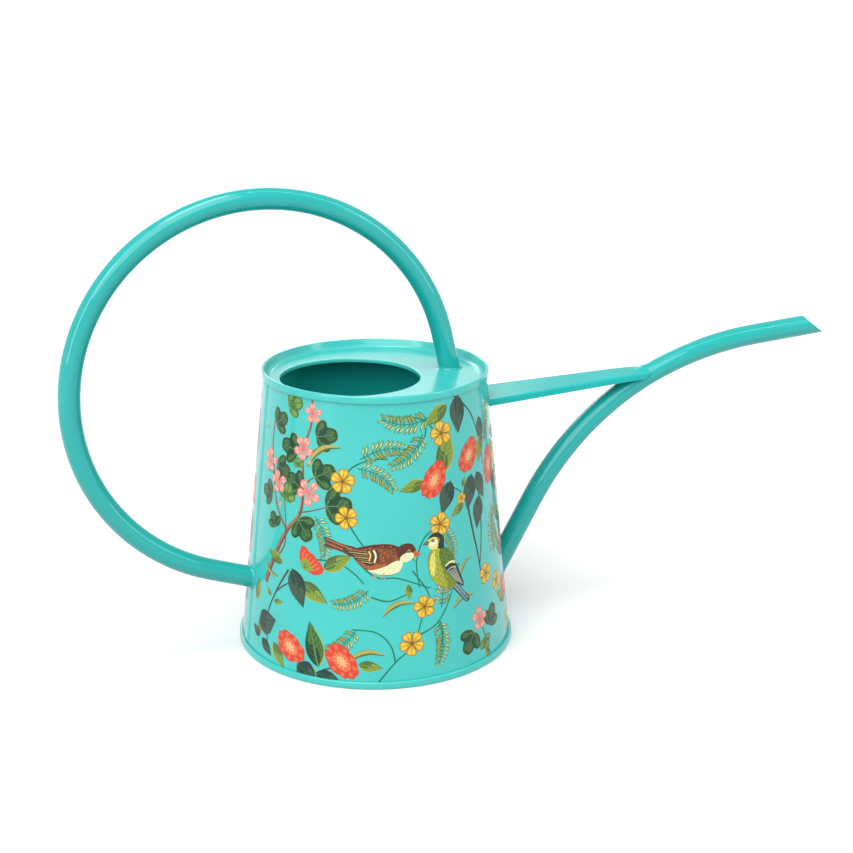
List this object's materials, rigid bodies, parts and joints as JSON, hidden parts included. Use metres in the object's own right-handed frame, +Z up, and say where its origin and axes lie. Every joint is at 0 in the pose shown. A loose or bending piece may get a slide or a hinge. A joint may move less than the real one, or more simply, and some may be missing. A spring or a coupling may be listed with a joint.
{
  "type": "watering can",
  "caption": "Long-reach watering can in enamelled sheet steel with a tapered round body, a large loop handle and a braced curved spout.",
  "frame": {"origin": "on the floor under the centre of the round base, on the axis of the body; the base plate's underside, where the mount base_plate is, lies 2 mm above it", "axes": "+X along the spout, +Z up along the axis of the body, and the can is the same on both sides of the XZ plane apart from its print"},
  "size_m": [0.3782, 0.129, 0.2137],
  "materials": {
    "teal_enamel": "gloss",
    "printed_enamel": "gloss",
    "seam_sealant": "satin"
  },
  "bodies": {
    "root": {"body_wall": "printed_enamel", "base_plate": "teal_enamel", "cover_plate": "teal_enamel", "base_seam_seal": "seam_sealant", "handle_tube": "teal_enamel", "handle_upper_weld": "teal_enamel", "handle_lower_weld": "teal_enamel", "spout_tube": "teal_enamel", "spout_weld": "teal_enamel", "spout_brace": "teal_enamel", "brace_body_weld": "teal_enamel", "brace_spout_weld": "teal_enamel"}
  },
  "joints": []
}
